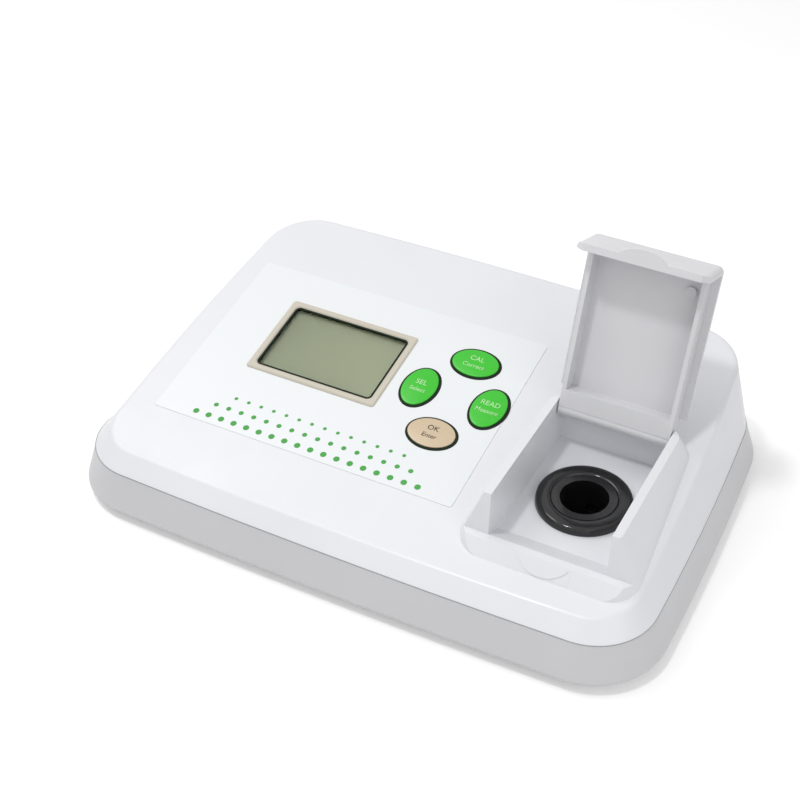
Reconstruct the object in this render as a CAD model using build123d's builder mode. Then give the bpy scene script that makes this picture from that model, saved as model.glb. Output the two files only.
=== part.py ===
"""Bench turbidity meter: sloped case, membrane keypad, display, and a lidded sample chamber.

Millimetres, +Z up. The origin is on the table under the middle of the case. The front faces -Y.
The deck of the case slopes down to the front. The floor of the sample chamber stays level.
"""

import os
from math import cos, radians, sin, tan

from build123d import *

os.makedirs("parts", exist_ok=True)

# Case: three outlines, from the table up, that share one plan shape
case_front_width = 304.0
case_back_width = 290.0
case_depth = 199.0
side_bow = 3.5
end_bow = 3.0
front_corner = 24.0
back_corner = 30.0
shoulder_run = 9.8
skirt_flare = 7.4
case_wall = 3.0
deck_slope = 10.37
deck_mid_height = 54.3
parting_height = 28.0
skirt_bottom = 6.0
skirt_round = 2.0
deck_edge_round = 3.0
fit_gap = 0.1

# Keypad label and display, laid out on the sloped deck
label_width = 182.0
label_depth = 122.3
label_centre = (-45.2, -6.45)
label_corner = 1.5
label_thick = 0.5
label_seat = 0.3
window_width = 73.0
window_depth = 47.6
window_corner = 3.0
bezel_border = 4.0
bezel_thick = 1.5
bezel_bevel = 0.7
bezel_corner = 2.0
display_centre = (-63.7, 4.5)
pane_lip = 1.5
pane_thick = 2.0

# Keys: four ovals in a cross
key_long = 28.0
key_short = 20.0
key_cross = (14.3, 0.0)
key_reach_x = 20.8
key_reach_y = 27.2
key_gap = 0.3
key_travel = 0.8
key_proud = 1.2
key_crown = 0.8
key_flange = 1.6
key_flange_thick = 1.5
stem_radius = 2.0

# Electronics hung under the deck
board_width = 168.0
board_depth = 112.0
board_thick = 1.6
board_drop = 13.0
post_inset = 6.0
post_radius = 3.5
post_screw_radius = 1.2
board_screw_head = 2.4
board_screw_reach = 7.0
display_thick = 9.6
display_margin = 3.0
glass_margin = 1.0
glass_thick = 1.6
switch_size = 6.0
switch_height = 3.4
switch_button = 1.0

# Sample chamber, a level-floored tub let into the right of the deck
chamber_x = 103.4
chamber_half_width = 31.5
chamber_front = -77.9
chamber_back = 13.5
chamber_floor = 39.0
chamber_lip = 45.0
lip_front = -82.0
apron_base = -88.5
ramp_length = 12.0
ridge_height = 70.0
hump_top_half = 36.0
hump_base_half = 50.0
hump_front = -89.0
hump_back = 30.0
hump_front_corner = 18.0
hump_top_front = -81.0
hump_top_back = 12.0
hump_top_corner = 9.0
flank_wall = 2.5
flank_hollow_top = 60.0
flank_hollow_front = -66.0
flank_hollow_back = 2.0
wall_end_rake = 2.5
notch_width = 28.0
notch_reach = 5.0
notch_depth = 4.0

# Sample well: collar, sleeve and optical block
well_y = -28.9
well_radius = 12.8
well_bottom = 12.5
sleeve_floor = 2.0
sleeve_radius = 15.0
collar_radius = 25.5
collar_top_radius = 24.6
collar_height = 4.3
collar_edge = 1.2
collar_neck_radius = 20.0
step_radius = 17.2
step_depth = 1.4
step_lip = 0.6
block_size = 44.0
block_height = 21.0
beam_radius = 3.0
beam_height = 24.0
holder_radius = 7.5
holder_bore = 6.1
lamp_reach = 26.0
lamp_base = 8.0
bulb_radius = 3.0
bulb_length = 9.0
bulb_round = 2.4
lens_stand = 3.0
lens_edge = 1.6
lens_bulge = 1.8
detector_reach = 14.0
detector_can = 5.0
detector_board = 18.0

# Lid, drawn closed and then swung open about the hinge pins
lid_open_angle = 110.0
lid_plate = 2.6
lid_edge_round = 1.0
lid_seat_gap = 0.3
lid_half_width = 35.0
lid_front = -84.0
lid_shoulder = -2.0
lid_side_gap = 0.7
lid_rim = 2.2
lid_front_wall = 3.6
lid_lip_gap = 0.4
lid_corner = 3.4
ear_chamfer = 4.0
tab_width = 25.0
tab_reach = 4.5
tab_thick = 2.4
boss_spot = (22.0, -68.0)
lid_boss_radius = 3.0
lid_boss_height = 1.5
rib_back = -3.0
hinge_y = 8.5
hinge_z = 64.0
hinge_bar_radius = 4.0
tail_round = 1.5
pin_radius = 1.5
pin_bore_gap = 0.06
pin_bury = 3.0
pin_reach = 9.0

# Rear panel with the mains inlet and the power switch
panel_x = 70.0
panel_z = 43.0
panel_width = 74.0
panel_height = 24.0
panel_y = 98.0
panel_thick = 2.0
panel_ledge = 3.0
panel_clear = 20.0
inlet_width = 27.0
inlet_height = 19.5
inlet_depth = 16.0
inlet_offset = 17.0
inlet_mouth_width = 24.0
inlet_mouth_height = 16.4
inlet_mouth_depth = 14.0
inlet_mouth_cut = 4.0
flange_lip = 1.5
flange_thick = 1.5
blade_width = 2.0
blade_height = 4.0
blade_length = 11.0
blade_spread = 7.0
blade_rise = 2.0
rocker_offset = -19.0
rocker_frame_width = 13.0
rocker_frame_height = 19.6
rocker_depth = 12.0
rocker_half_width = 4.9
rocker_half_height = 7.6
rocker_face = 3.2
rocker_dip = 1.6
rocker_side_gap = 0.3
rocker_swing = 12.0
rocker_pocket = 8.0
rocker_pivot_depth = 3.0
trunnion_radius = 0.8
trunnion_length = 0.9

# Feet, case screws and the power supply
foot_radius = 8.0
foot_recess = 2.0
foot_taper = 5.0
foot_x = 112.0
foot_y = 90.0
case_screw_radius = 1.5
case_screw_head = 3.0
screw_head_height = 2.0
screw_sink = 3.0
screw_x = 126.0
screw_y = 72.0
boss_radius = 5.0
boss_bore = 7.0
power_centre = (55.0, 48.0)
power_width = 70.0
power_depth = 50.0
power_height = 15.0
power_post_inset = 5.0
coil_offset = -14.0
coil_width = 40.0
coil_depth = 34.0
coil_height = 24.0
core_width = 28.0

slope = tan(radians(deck_slope))
case_half_depth = case_depth / 2
deck = Plane(
    origin=(0, 0, deck_mid_height),
    x_dir=(1, 0, 0),
    z_dir=(0, -sin(radians(deck_slope)), cos(radians(deck_slope))),
)


def deck_height(y):
    """Height of the sloped deck over a point at depth y."""
    return deck_mid_height + slope * y


def case_outline(grow, stretch=1.0):
    """Plan shape of the case, grown outwards; stretch lengthens it along a sloped plane."""
    front = -(case_half_depth + grow) * stretch
    back = -front
    half_front = case_front_width / 2 + grow
    half_back = case_back_width / 2 + grow
    half_middle = (half_front + half_back) / 2 + side_bow
    with BuildSketch() as shape:
        with BuildLine():
            ThreePointArc((-half_front, front), (0, front - end_bow), (half_front, front))
            ThreePointArc((half_front, front), (half_middle, 0), (half_back, back))
            ThreePointArc((half_back, back), (0, back + end_bow), (-half_back, back))
            ThreePointArc((-half_back, back), (-half_middle, 0), (-half_front, front))
        make_face()
        corners = shape.vertices().sort_by(Axis.Y)
        fillet(corners[:2], front_corner + grow)
        fillet(shape.vertices().sort_by(Axis.Y)[-2:], back_corner + grow)
    return shape.sketch


def chamber_rect(half_width, front, back, corner):
    """Rounded rectangle on the chamber's own centre line."""
    with BuildSketch() as shape:
        with Locations((chamber_x, (front + back) / 2)):
            RectangleRounded(2 * half_width, back - front, corner)
    return shape.sketch


def half_moon(width, reach):
    """Segment of a circle with its chord on the X axis and its bulge towards -Y."""
    with BuildSketch() as shape:
        with BuildLine():
            ThreePointArc((-width / 2, 0), (0, -reach), (width / 2, 0))
            Line((width / 2, 0), (-width / 2, 0))
        make_face()
    return shape.sketch


def boss_top(x, y):
    """Height at which a screw boss runs into the shell above it."""
    under_chamber = x > chamber_x - chamber_half_width and y < chamber_back
    return (chamber_floor if under_chamber else deck_height(y)) - case_wall / 2


def save(piece, name):
    """Label a finished piece and write it as its own file."""
    piece.label = name
    export_step(piece, f"parts/{name}.step")


deck_stretch = 1 / cos(radians(deck_slope))
key_places = {
    "upper_key": (key_cross[0], key_cross[1] + key_reach_y, key_long, key_short),
    "lower_key": (key_cross[0], key_cross[1] - key_reach_y, key_long, key_short),
    "left_key": (key_cross[0] - key_reach_x, key_cross[1], key_short, key_long),
    "right_key": (key_cross[0] + key_reach_x, key_cross[1], key_short, key_long),
}
board_centre = (label_centre[0] + 2, label_centre[1])
post_places = [
    (
        board_centre[0] + side * (board_width / 2 - post_inset),
        board_centre[1] + end * (board_depth / 2 - post_inset),
    )
    for side in (-1, 1)
    for end in (-1, 1)
]
screw_places = [(side * screw_x, end * screw_y) for side in (-1, 1) for end in (-1, 1)]
foot_places = [(side * foot_x, end * foot_y) for side in (-1, 1) for end in (-1, 1)]
power_posts = [
    (
        power_centre[0] + side * (power_width / 2 - power_post_inset),
        power_centre[1] + end * (power_depth / 2 - power_post_inset),
    )
    for side in (-1, 1)
    for end in (-1, 1)
]
bezel_width = window_width + 2 * bezel_border
bezel_depth = window_depth + 2 * bezel_border
above_ridge = ridge_height + 5
hump_base = chamber_floor - case_wall
block_top = hump_base
collar_top = chamber_floor + collar_height
post_length = board_drop - case_wall
inlet_x = panel_x + inlet_offset
rocker_x = panel_x + rocker_offset
panel_front = panel_y + panel_thick
lid_under = ridge_height + lid_seat_gap
lid_tail_half = chamber_half_width - lid_side_gap
rim_bottom = hinge_z - hinge_bar_radius

# Upper shell: sloped deck, raised chamber walls and the openings for keys and display
with BuildPart() as upper_shell:
    with BuildSketch(Plane.XY.offset(parting_height)):
        add(case_outline(shoulder_run))
    with BuildSketch(deck):
        add(case_outline(0, deck_stretch))
    loft(ruled=True)
    deck_face = upper_shell.faces().sort_by(Axis.Z)[-1]
    fillet(deck_face.outer_wire().edges(), deck_edge_round)
    with BuildSketch(Plane.XY.offset(parting_height)):
        add(case_outline(shoulder_run - case_wall))
    with BuildSketch(deck.offset(-case_wall)):
        add(case_outline(-case_wall, deck_stretch))
    loft(ruled=True, mode=Mode.SUBTRACT)
    # the raised block that carries the chamber walls
    with BuildSketch(Plane.XY.offset(hump_base)):
        add(chamber_rect(hump_base_half, hump_front, hump_back, hump_front_corner))
    with BuildSketch(Plane.XY.offset(ridge_height)):
        add(chamber_rect(hump_top_half, hump_top_front, hump_top_back, hump_top_corner))
    loft()
    # the tub is emptied along the chamber's side profile, with a ramp up to the front lip
    with BuildSketch(Plane.YZ.offset(chamber_x)):
        with BuildLine():
            Polyline(
                (chamber_back, chamber_floor),
                (chamber_front + ramp_length, chamber_floor),
                (chamber_front, chamber_lip),
                (chamber_front, above_ridge),
                (chamber_back, above_ridge),
                close=True,
            )
        make_face()
    extrude(amount=chamber_half_width, both=True, mode=Mode.SUBTRACT)
    # the walls stop at the front lip, and an apron slopes from there to the deck
    with BuildSketch(Plane.YZ.offset(chamber_x)):
        with BuildLine():
            Polyline(
                (lip_front, chamber_lip),
                (chamber_front, chamber_lip),
                (chamber_front + wall_end_rake, above_ridge),
                (hump_front, above_ridge),
                (hump_front, deck_height(hump_front)),
                (apron_base, deck_height(apron_base)),
                close=True,
            )
        make_face()
    extrude(amount=hump_base_half, both=True, mode=Mode.SUBTRACT)
    # behind the hinge the space between the walls drops to the deck
    with BuildSketch(Plane.YZ.offset(chamber_x)):
        with BuildLine():
            Polyline(
                (chamber_back - 1, deck_height(chamber_back - 1)),
                (hump_back, deck_height(hump_back)),
                (hump_back, above_ridge),
                (chamber_back - 1, above_ridge),
                close=True,
            )
        make_face()
    extrude(amount=chamber_half_width, both=True, mode=Mode.SUBTRACT)
    # both flanks are hollow from below
    flank_slope = (hump_base_half - hump_top_half) / (ridge_height - hump_base)
    for side in (-1, 1):
        hollow_inside = chamber_x + side * (chamber_half_width + flank_wall)
        hollow_outside = chamber_x + side * (hump_base_half - 1.1 * flank_wall)
        hollow_shift = side * flank_slope * (flank_hollow_top - hump_base)
        with BuildSketch(Plane.XZ.offset(-flank_hollow_front)):
            with BuildLine():
                Polyline(
                    (hollow_inside, hump_base),
                    (hollow_inside, flank_hollow_top),
                    (hollow_outside - hollow_shift, flank_hollow_top),
                    (hollow_outside, hump_base),
                    close=True,
                )
            make_face()
        extrude(amount=flank_hollow_front - flank_hollow_back, mode=Mode.SUBTRACT)
    # finger notch in the apron under the lid's tab
    with BuildSketch(Plane((chamber_x, lip_front, chamber_lip))):
        add(half_moon(notch_width, notch_reach))
    extrude(amount=-notch_depth, mode=Mode.SUBTRACT)
    # round hole in the chamber floor for the neck of the collar
    with BuildSketch(Plane.XY.offset(chamber_floor)):
        with Locations((chamber_x, well_y)):
            Circle(collar_neck_radius + fit_gap)
    extrude(amount=-2 * case_wall, mode=Mode.SUBTRACT)
    # hinge pin holes in both chamber walls
    for side in (-1, 1):
        wall = Plane(
            origin=(chamber_x + side * chamber_half_width, hinge_y, hinge_z),
            x_dir=(0, 1, 0),
            z_dir=(side, 0, 0),
        )
        with BuildSketch(wall):
            Circle(pin_radius)
        extrude(amount=pin_bury, mode=Mode.SUBTRACT)
    # openings in the deck for the keys and the display
    with BuildSketch(deck):
        for x, y, long_x, long_y in key_places.values():
            with Locations((x, y)):
                Ellipse(long_x / 2 + key_gap, long_y / 2 + key_gap)
        with Locations(display_centre):
            RectangleRounded(window_width + 2 * pane_lip, window_depth + 2 * pane_lip, window_corner)
    extrude(amount=-2 * case_wall, mode=Mode.SUBTRACT)
    # seat for the keypad label
    with BuildSketch(deck):
        with Locations(label_centre):
            RectangleRounded(label_width + 2 * fit_gap, label_depth + 2 * fit_gap, label_corner)
    extrude(amount=-label_seat, mode=Mode.SUBTRACT)
    # posts under the deck that carry the board
    with BuildSketch(deck.offset(-board_drop)):
        with Locations(*post_places):
            Circle(post_radius)
    extrude(amount=post_length)
    with BuildSketch(deck.offset(-board_drop)):
        with Locations(*post_places):
            Circle(post_screw_radius)
    extrude(amount=post_length - 1, mode=Mode.SUBTRACT)
    # bosses that take the case screws, cut off square at the parting line
    for x, y in screw_places:
        with BuildSketch(Plane.XY.offset(parting_height)):
            with Locations((x, y)):
                Circle(boss_radius)
        extrude(amount=boss_top(x, y) - parting_height)
        with BuildSketch(Plane.XY.offset(parting_height)):
            with Locations((x, y)):
                Circle(case_screw_radius)
        extrude(amount=boss_bore, mode=Mode.SUBTRACT)
    # recess in the back wall, with a ledge that the rear panel lies against
    panel_top = panel_z + panel_height / 2
    ledge_y = panel_y - panel_ledge
    with BuildSketch(Plane.YZ.offset(panel_x)):
        with BuildLine():
            Polyline(
                (ledge_y, parting_height),
                (ledge_y, panel_top + panel_ledge),
                (case_half_depth + case_wall, panel_top + panel_ledge),
                (case_half_depth + shoulder_run, parting_height),
                close=True,
            )
        make_face()
    extrude(amount=panel_width / 2 + panel_ledge, both=True)
    with BuildSketch(Plane.XZ.offset(-panel_y)):
        with Locations((panel_x, panel_z)):
            Rectangle(panel_width, panel_height)
    extrude(amount=-panel_clear, mode=Mode.SUBTRACT)
    with BuildSketch(Plane.XZ.offset(-panel_y)):
        with Locations((panel_x, panel_z)):
            Rectangle(panel_width - 2 * panel_ledge, panel_height - 2 * panel_ledge / 2)
    extrude(amount=2 * panel_ledge, mode=Mode.SUBTRACT)

save(upper_shell.part, "upper_shell")

# Lower shell: a flared tray that closes the case from below
inner_draft = skirt_flare * case_wall / (parting_height - skirt_bottom)
with BuildPart() as lower_shell:
    with BuildSketch(Plane.XY.offset(skirt_bottom)):
        add(case_outline(shoulder_run + skirt_flare))
    with BuildSketch(Plane.XY.offset(parting_height)):
        add(case_outline(shoulder_run))
    loft(ruled=True)
    bottom_face = lower_shell.faces().sort_by(Axis.Z)[0]
    fillet(bottom_face.outer_wire().edges(), skirt_round)
    with BuildSketch(Plane.XY.offset(skirt_bottom + case_wall)):
        add(case_outline(shoulder_run + skirt_flare - case_wall - inner_draft))
    with BuildSketch(Plane.XY.offset(parting_height)):
        add(case_outline(shoulder_run - case_wall))
    loft(ruled=True, mode=Mode.SUBTRACT)
    # screw towers under the bosses of the upper shell
    with BuildSketch(Plane.XY.offset(skirt_bottom + case_wall)):
        with Locations(*screw_places):
            Circle(boss_radius)
    extrude(amount=parting_height - skirt_bottom - case_wall)
    with BuildSketch(Plane.XY.offset(skirt_bottom)):
        with Locations(*screw_places):
            Circle(case_screw_radius + fit_gap)
    extrude(amount=parting_height - skirt_bottom, mode=Mode.SUBTRACT)
    with BuildSketch(Plane.XY.offset(skirt_bottom)):
        with Locations(*screw_places):
            Circle(case_screw_head + fit_gap)
    extrude(amount=screw_sink, mode=Mode.SUBTRACT)
    # pillars for the power board
    with BuildSketch(Plane.XY.offset(skirt_bottom + case_wall)):
        with Locations(*power_posts):
            Circle(post_radius)
    extrude(amount=power_height - skirt_bottom - case_wall)
    # seats for the rubber feet
    with BuildSketch(Plane.XY.offset(skirt_bottom)):
        with Locations(*foot_places):
            Circle(foot_radius)
    extrude(amount=foot_recess, mode=Mode.SUBTRACT)

save(lower_shell.part, "lower_shell")

# Rubber feet, tapered and pressed into their seats
with BuildPart() as feet:
    with BuildSketch(Plane.XY.offset(skirt_bottom + foot_recess)):
        with Locations(*foot_places):
            Circle(foot_radius)
    extrude(amount=-skirt_bottom - foot_recess, taper=foot_taper)

save(feet.part, "rubber_feet")

# Case screws, up through the lower shell into the bosses
with BuildPart() as case_screws:
    with BuildSketch(Plane.XY.offset(skirt_bottom + screw_sink)):
        with Locations(*screw_places):
            Circle(case_screw_head)
    extrude(amount=-screw_head_height)
    with BuildSketch(Plane.XY.offset(skirt_bottom + screw_sink)):
        with Locations(*screw_places):
            Circle(case_screw_radius)
    extrude(amount=parting_height + boss_bore - 1 - skirt_bottom - screw_sink)

save(case_screws.part, "case_screws")

# Keypad label: a thin printed sheet with openings over the keys and the display
with BuildPart() as keypad_label:
    with BuildSketch(deck.offset(-label_seat)):
        with Locations(label_centre):
            RectangleRounded(label_width, label_depth, label_corner)
        with Locations(display_centre):
            RectangleRounded(bezel_width + 2 * fit_gap, bezel_depth + 2 * fit_gap, bezel_corner, mode=Mode.SUBTRACT)
        for x, y, long_x, long_y in key_places.values():
            with Locations((x, y)):
                Ellipse(long_x / 2 + key_gap, long_y / 2 + key_gap, mode=Mode.SUBTRACT)
    extrude(amount=label_thick)

save(keypad_label.part, "keypad_label")

# Display bezel: a raised frame with a bevelled inner edge, standing on the deck
with BuildPart() as display_bezel:
    with BuildSketch(deck.offset(-label_seat)):
        with Locations(display_centre):
            RectangleRounded(bezel_width, bezel_depth, bezel_corner)
            RectangleRounded(window_width, window_depth, window_corner, mode=Mode.SUBTRACT)
    extrude(amount=bezel_thick)
    rim = display_bezel.faces().sort_by(Axis((0, 0, 0), deck.z_dir))[-1]
    chamfer(rim.edges(), bezel_bevel)

save(display_bezel.part, "display_bezel")

# Clear pane, set in the deck opening just under the bezel
with BuildPart() as display_pane:
    with BuildSketch(deck.offset(-label_seat)):
        with Locations(display_centre):
            RectangleRounded(
                window_width + 2 * pane_lip, window_depth + 2 * pane_lip, window_corner
            )
    extrude(amount=-pane_thick)

save(display_pane.part, "display_pane")

# Display: a shallow frame on the board that carries the glass plate
with BuildPart() as display_frame:
    with BuildSketch(deck.offset(-board_drop)):
        with Locations(display_centre):
            Rectangle(window_width + 2 * display_margin, window_depth + 2 * display_margin)
    extrude(amount=display_thick)
    with BuildSketch(deck.offset(-board_drop + display_thick)):
        with Locations(display_centre):
            Rectangle(window_width + 2 * glass_margin, window_depth + 2 * glass_margin)
    extrude(amount=-glass_thick, mode=Mode.SUBTRACT)

save(display_frame.part, "display_frame")

with BuildPart() as display_glass:
    with BuildSketch(deck.offset(-board_drop + display_thick - glass_thick)):
        with Locations(display_centre):
            Rectangle(window_width + 2 * glass_margin, window_depth + 2 * glass_margin)
    extrude(amount=glass_thick)

save(display_glass.part, "display_glass")

# Keys: oval caps with a flange that stays under the deck and a stem over the switch
flange_top = -case_wall - key_gap
stem_end = -board_drop + switch_height + switch_button + key_travel + key_gap
for name, (x, y, long_x, long_y) in key_places.items():
    with BuildPart() as key:
        with BuildSketch(deck.offset(flange_top)):
            with Locations((x, y)):
                Ellipse(long_x / 2, long_y / 2)
        extrude(amount=key_proud - flange_top)
        crown = key.faces().sort_by(Axis((0, 0, 0), deck.z_dir))[-1]
        fillet(crown.edges(), key_crown)
        with BuildSketch(deck.offset(flange_top)):
            with Locations((x, y)):
                Ellipse(long_x / 2 + key_flange, long_y / 2 + key_flange)
        extrude(amount=-key_flange_thick)
        with BuildSketch(deck.offset(stem_end)):
            with Locations((x, y)):
                Circle(stem_radius)
        extrude(amount=flange_top - key_flange_thick - stem_end)
    save(key.part, name)

# Main board, with holes over the posts
with BuildPart() as main_board:
    with BuildSketch(deck.offset(-board_drop)):
        with Locations(board_centre):
            Rectangle(board_width, board_depth)
        with Locations(*post_places):
            Circle(post_screw_radius, mode=Mode.SUBTRACT)
    extrude(amount=-board_thick)

save(main_board.part, "main_board")

# One push switch under each key
with BuildPart() as key_switches:
    for x, y, long_x, long_y in key_places.values():
        with BuildSketch(deck.offset(-board_drop)):
            with Locations((x, y)):
                Rectangle(switch_size, switch_size)
        extrude(amount=switch_height)
        with BuildSketch(deck.offset(-board_drop + switch_height)):
            with Locations((x, y)):
                Circle(stem_radius)
        extrude(amount=switch_button)

save(key_switches.part, "key_switches")

# Screws that hold the board to its posts
with BuildPart() as board_screws:
    with BuildSketch(deck.offset(-board_drop - board_thick)):
        with Locations(*post_places):
            Circle(board_screw_head)
    extrude(amount=-board_screw_head / 2)
    with BuildSketch(deck.offset(-board_drop - board_thick)):
        with Locations(*post_places):
            Circle(post_screw_radius)
    extrude(amount=board_screw_reach)

save(board_screws.part, "board_screws")

# Collar: black ring on the chamber floor, its neck through the floor and its top dished for the sleeve
with BuildPart() as collar:
    with BuildSketch(Plane.XZ.offset(-well_y)):
        with BuildLine():
            Polyline(
                (chamber_x + sleeve_radius + fit_gap, block_top),
                (chamber_x + collar_neck_radius, block_top),
                (chamber_x + collar_neck_radius, chamber_floor),
                (chamber_x + collar_radius, chamber_floor),
                (chamber_x + collar_radius, chamber_floor + collar_edge),
                (chamber_x + collar_top_radius, chamber_floor + collar_height),
                (chamber_x + step_radius, chamber_floor + collar_height),
                (chamber_x + step_radius, chamber_floor + collar_height - step_depth),
                (chamber_x + sleeve_radius + fit_gap, chamber_floor + collar_height - step_depth),
                close=True,
            )
        make_face()
    revolve(axis=Axis((chamber_x, well_y, 0), (0, 0, 1)))

save(collar.part, "well_collar")

# Well sleeve: the tube that the round sample vial stands in, with ports for the light
with BuildPart() as well_sleeve:
    with BuildSketch(Plane.XZ.offset(-well_y)):
        with BuildLine():
            Polyline(
                (chamber_x, well_bottom),
                (chamber_x + sleeve_radius, well_bottom),
                (chamber_x + sleeve_radius, chamber_floor + collar_height - step_depth),
                (chamber_x + step_radius - fit_gap, chamber_floor + collar_height - step_depth),
                (chamber_x + step_radius - fit_gap, chamber_floor + collar_height - step_lip),
                (chamber_x + well_radius, chamber_floor + collar_height - step_lip),
                (chamber_x + well_radius, well_bottom + sleeve_floor),
                (chamber_x, well_bottom + sleeve_floor),
                close=True,
            )
        make_face()
    revolve(axis=Axis((chamber_x, well_y, 0), (0, 0, 1)))
    for direction in ((-1, 0, 0), (0, 1, 0)):
        with BuildSketch(Plane(origin=(chamber_x, well_y, beam_height), z_dir=direction)):
            Circle(beam_radius)
        extrude(amount=block_size / 2, mode=Mode.SUBTRACT)

save(well_sleeve.part, "well_sleeve")

# Optical block: black body round the sleeve, drilled for the lamp and for the side detector
with BuildPart() as optical_block:
    with BuildSketch(Plane.XY.offset(block_top - block_height)):
        with Locations((chamber_x, well_y)):
            Rectangle(block_size, block_size)
            Circle(sleeve_radius + fit_gap, mode=Mode.SUBTRACT)
    extrude(amount=block_height)
    for direction in ((-1, 0, 0), (0, 1, 0)):
        with BuildSketch(Plane(origin=(chamber_x, well_y, beam_height), z_dir=direction)):
            Circle(beam_radius)
        extrude(amount=block_size, mode=Mode.SUBTRACT)

save(optical_block.part, "optical_block")

# Lamp holder on the left of the block
lamp_face = Plane((chamber_x - block_size / 2, well_y, beam_height), x_dir=(0, 1, 0), z_dir=(-1, 0, 0))
with BuildPart() as lamp_holder:
    with BuildSketch(lamp_face):
        Circle(holder_radius)
        Circle(holder_bore, mode=Mode.SUBTRACT)
    extrude(amount=lamp_reach)

save(lamp_holder.part, "lamp_holder")

# Lens that gathers the lamp's light, flat towards the lamp
lens_back = chamber_x - block_size / 2 - lens_stand - lens_edge
with BuildPart() as beam_lens:
    with BuildSketch(Plane.XZ.offset(-well_y)):
        with BuildLine():
            Line((lens_back, beam_height), (lens_back, beam_height + holder_bore))
            Line((lens_back, beam_height + holder_bore), (lens_back + lens_edge, beam_height + holder_bore))
            RadiusArc(
                (lens_back + lens_edge, beam_height + holder_bore),
                (lens_back + lens_edge + lens_bulge, beam_height),
                (holder_bore**2 + lens_bulge**2) / (2 * lens_bulge),
            )
            Line((lens_back + lens_edge + lens_bulge, beam_height), (lens_back, beam_height))
        make_face()
    revolve(axis=Axis((0, well_y, beam_height), (1, 0, 0)))

save(beam_lens.part, "beam_lens")

with BuildPart() as lamp:
    with BuildSketch(lamp_face.offset(lamp_reach)):
        Circle(holder_bore)
    extrude(amount=-lamp_base)
    with BuildSketch(lamp_face.offset(lamp_reach - lamp_base)):
        Circle(bulb_radius)
    extrude(amount=-bulb_length)
    fillet(lamp.faces().sort_by(Axis.X)[-1].edges(), bulb_round)

save(lamp.part, "lamp")

# Detector holder behind the block, at a right angle to the beam
detector_face = Plane((chamber_x, well_y + block_size / 2, beam_height), x_dir=(1, 0, 0), z_dir=(0, 1, 0))
with BuildPart() as detector_holder:
    with BuildSketch(detector_face):
        Circle(holder_radius)
        Circle(holder_bore, mode=Mode.SUBTRACT)
    extrude(amount=detector_reach)

save(detector_holder.part, "detector_holder")

with BuildPart() as light_detector:
    with BuildSketch(detector_face.offset(detector_reach)):
        Circle(holder_bore)
    extrude(amount=-detector_can)
    with BuildSketch(detector_face.offset(detector_reach)):
        Rectangle(detector_board, detector_board)
    extrude(amount=board_thick)

save(light_detector.part, "light_detector")

# Lid, drawn closed: plate, side rims inside the tub, deep front wall, solid tail on the hinge bar
tail_end = hinge_y + tail_round
with BuildPart() as lid:
    with BuildSketch(Plane.XY.offset(lid_under)) as plate:
        with Locations((chamber_x, (lid_front + lid_shoulder) / 2)):
            Rectangle(2 * lid_half_width, lid_shoulder - lid_front)
        fillet(plate.vertices().sort_by(Axis.Y)[:2], lid_corner)
        with Locations((chamber_x, (lid_front + hinge_y) / 2)):
            Rectangle(2 * lid_tail_half, hinge_y - lid_front - 2 * lid_corner)
    extrude(amount=lid_plate)
    # side rims, joined at the back by the solid tail
    with BuildSketch(Plane.XY.offset(rim_bottom)):
        with Locations((chamber_x, (lid_front + hinge_y) / 2)):
            Rectangle(2 * lid_tail_half, hinge_y - lid_front - 2 * lid_front_wall / 2)
        inner_front = lid_front + lid_front_wall
        with Locations((chamber_x, (inner_front - lid_front_wall + rib_back) / 2)):
            Rectangle(
                2 * (lid_tail_half - lid_rim),
                rib_back - inner_front + lid_front_wall,
                mode=Mode.SUBTRACT,
            )
    extrude(amount=lid_under - rim_bottom)
    # hinge bar, with the tail's rounded back above it
    with BuildSketch(Plane.YZ.offset(chamber_x)):
        with Locations((hinge_y, hinge_z)):
            Circle(hinge_bar_radius)
        with BuildLine():
            Polyline(
                (rib_back, hinge_z),
                (hinge_y + hinge_bar_radius, hinge_z),
                (hinge_y + hinge_bar_radius, hinge_z + hinge_bar_radius - tail_round),
                (tail_end, lid_under + lid_plate),
                (rib_back, lid_under + lid_plate),
                close=True,
            )
        make_face()
    extrude(amount=lid_tail_half, both=True)
    # front wall down to the lip, its lower corners cut off
    with BuildSketch(Plane.XY.offset(chamber_lip + lid_lip_gap)) as wall_plan:
        with Locations((chamber_x, lid_front + lid_front_wall / 2)):
            Rectangle(2 * lid_half_width, lid_front_wall)
        fillet(wall_plan.vertices().sort_by(Axis.Y)[:2], lid_corner)
    extrude(amount=lid_under - chamber_lip - lid_lip_gap)
    for side in (-1, 1):
        with BuildSketch(Plane.XZ.offset(-lid_front + lid_corner)):
            with BuildLine():
                Polyline(
                    (chamber_x + side * lid_half_width, chamber_lip + lid_lip_gap),
                    (chamber_x + side * (lid_half_width - ear_chamfer), chamber_lip + lid_lip_gap),
                    (chamber_x + side * lid_half_width, chamber_lip + lid_lip_gap + ear_chamfer),
                    close=True,
                )
            make_face()
        extrude(amount=-2 * lid_front_wall - lid_corner, mode=Mode.SUBTRACT)
    # finger tab along the lower edge of the front wall
    with BuildSketch(Plane((chamber_x, lid_front, chamber_lip + lid_lip_gap))):
        add(half_moon(tab_width, tab_reach))
    extrude(amount=tab_thick)
    # moulded boss inside
    with BuildSketch(Plane.XY.offset(lid_under)):
        with Locations((chamber_x + boss_spot[0], boss_spot[1])):
            Circle(lid_boss_radius)
    extrude(amount=-lid_boss_height)
    # bores for the hinge pins
    for side in (-1, 1):
        with BuildSketch(Plane((chamber_x + side * lid_tail_half, hinge_y, hinge_z), z_dir=(-side, 0, 0))):
            Circle(pin_radius + pin_bore_gap)
        extrude(amount=pin_reach + 1, mode=Mode.SUBTRACT)

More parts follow.
